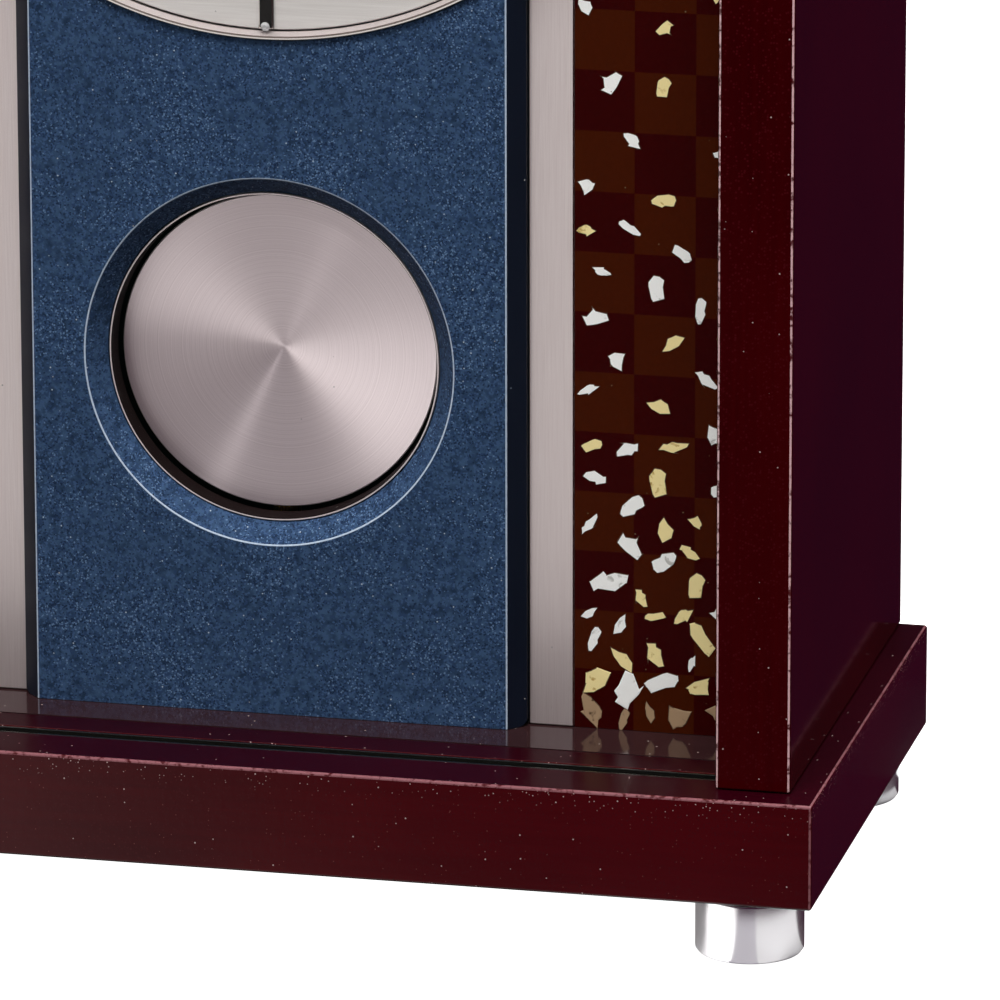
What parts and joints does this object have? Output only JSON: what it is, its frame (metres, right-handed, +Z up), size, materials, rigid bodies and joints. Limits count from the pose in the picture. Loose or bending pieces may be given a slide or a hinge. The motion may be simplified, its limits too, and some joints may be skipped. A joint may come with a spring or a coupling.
{
  "type": "table clock",
  "caption": "Upright lacquered wooden table clock: silver bar dial on a speckled blue panel, a pendulum behind a round opening, inlaid side panels behind glass.",
  "frame": {"origin": "on the surface that the clock stands on, under the middle of the case", "axes": "+Z up, dial facing -Y, +X to the right of someone who faces the dial"},
  "size_m": [0.25, 0.132, 0.403],
  "materials": {
    "lacquered_wood": "dark red gloss lacquer over a wooden board",
    "polished_steel": "polished bright plating",
    "satin_steel": "satin",
    "turned_metal": "turned in fine rings, warm silver",
    "brass_fittings": "lacquered brass",
    "black_rubber": "matte",
    "black_board": "matte black paint on board",
    "gloss_black_plate": "polished",
    "clear_glass": "clear polished float glass",
    "inlay_lacquer": "brown and red chequers with metal flakes under gloss lacquer",
    "blue_stone_finish": "speckled stone-look satin paint on board",
    "silver_dial": "finely brushed, with black bars and cut stones",
    "gloss_black_paint": "gloss",
    "black_plastic": "moulded",
    "white_plastic": "moulded",
    "copper_winding": "enamelled copper wire, wound",
    "battery_jacket": "plain printed jacket, no lettering",
    "magnet_grey": "sintered, ground"
  },
  "bodies": {
    "case": {"base_plinth": "lacquered_wood", "top_board": "lacquered_wood", "left_side_panel": "lacquered_wood", "right_side_panel": "lacquered_wood", "foot_front_left": "polished_steel", "foot_front_right": "polished_steel", "foot_back_left": "polished_steel", "foot_back_right": "polished_steel", "foot_pad_front_left": "black_rubber", "foot_pad_front_right": "black_rubber", "foot_pad_back_left": "black_rubber", "foot_pad_back_right": "black_rubber", "back_panel": "black_board", "door_catch_magnet": "magnet_grey", "lower_hinge_case_leaf": "brass_fittings", "lower_hinge_pin": "satin_steel", "upper_hinge_case_leaf": "brass_fittings", "upper_hinge_pin": "satin_steel", "glass_channel": "black_rubber", "front_glass": "clear_glass", "floor_plate": "gloss_black_plate", "backing_board": "black_board", "left_metal_strip": "satin_steel", "right_metal_strip": "satin_steel", "left_inlay_panel": "inlay_lacquer", "right_inlay_panel": "inlay_lacquer", "centre_panel": "blue_stone_finish", "opening_ring": "polished_steel", "dial_bezel": "polished_steel", "dial_backer": "black_board", "dial_plate": "silver_dial", "movement_case": "black_plastic", "movement_cover": "black_plastic", "movement_washer": "black_rubber", "shaft_bush": "brass_fittings", "bush_nut": "brass_fittings", "motor_coil": "copper_winding", "motor_core": "satin_steel", "battery": "battery_jacket", "negative_contact": "satin_steel", "positive_contact": "satin_steel", "pivot_pin": "satin_steel", "drive_coil": "copper_winding"},
    "minute": {"minute_hand": "gloss_black_paint", "minute_arbor": "satin_steel", "hand_cap": "polished_steel"},
    "hour": {"hour_hand": "gloss_black_paint", "hour_wheel": "white_plastic"},
    "setting": {"minute_wheel": "white_plastic", "setting_knob": "white_plastic"},
    "pendulum": {"pendulum_hanger": "white_plastic", "hanger_magnet": "magnet_grey", "pendulum_rod": "satin_steel", "pendulum_bob": "turned_metal", "rating_nut": "polished_steel"},
    "door": {"back_door": "black_board", "door_knob": "brass_fittings", "door_strike_plate": "satin_steel", "lower_hinge_door_leaf": "brass_fittings", "upper_hinge_door_leaf": "brass_fittings"}
  },
  "joints": [
    {"name": "minute_turn", "type": "hinge", "parent": "case", "child": "minute", "pos_m": [0, -0.02, 0.2755], "axis": [0, 1, 0], "continuous": true},
    {"name": "hour_turn", "type": "hinge", "parent": "case", "child": "hour", "pos_m": [0, -0.02, 0.2755], "axis": [0, 1, 0], "continuous": true},
    {"name": "setting_turn", "type": "hinge", "parent": "case", "child": "setting", "pos_m": [0.0096, 0, 0.2755], "axis": [0, 1, 0], "continuous": true},
    {"name": "pendulum_swing", "type": "hinge", "parent": "case", "child": "pendulum", "pos_m": [0, -0.011, 0.2535], "axis": [0, 1, 0], "range_deg": [-5, 5]},
    {"name": "door_swing", "type": "hinge", "parent": "case", "child": "door", "pos_m": [0.0633, 0.0593, 0.268], "axis": [0, 0, -1], "range_deg": [0, 110]}
  ],
  "couplings": [
    {"joint": "hour_turn", "follows": "minute_turn", "ratio": 0.083333},
    {"joint": "setting_turn", "follows": "minute_turn", "ratio": -0.33333}
  ]
}
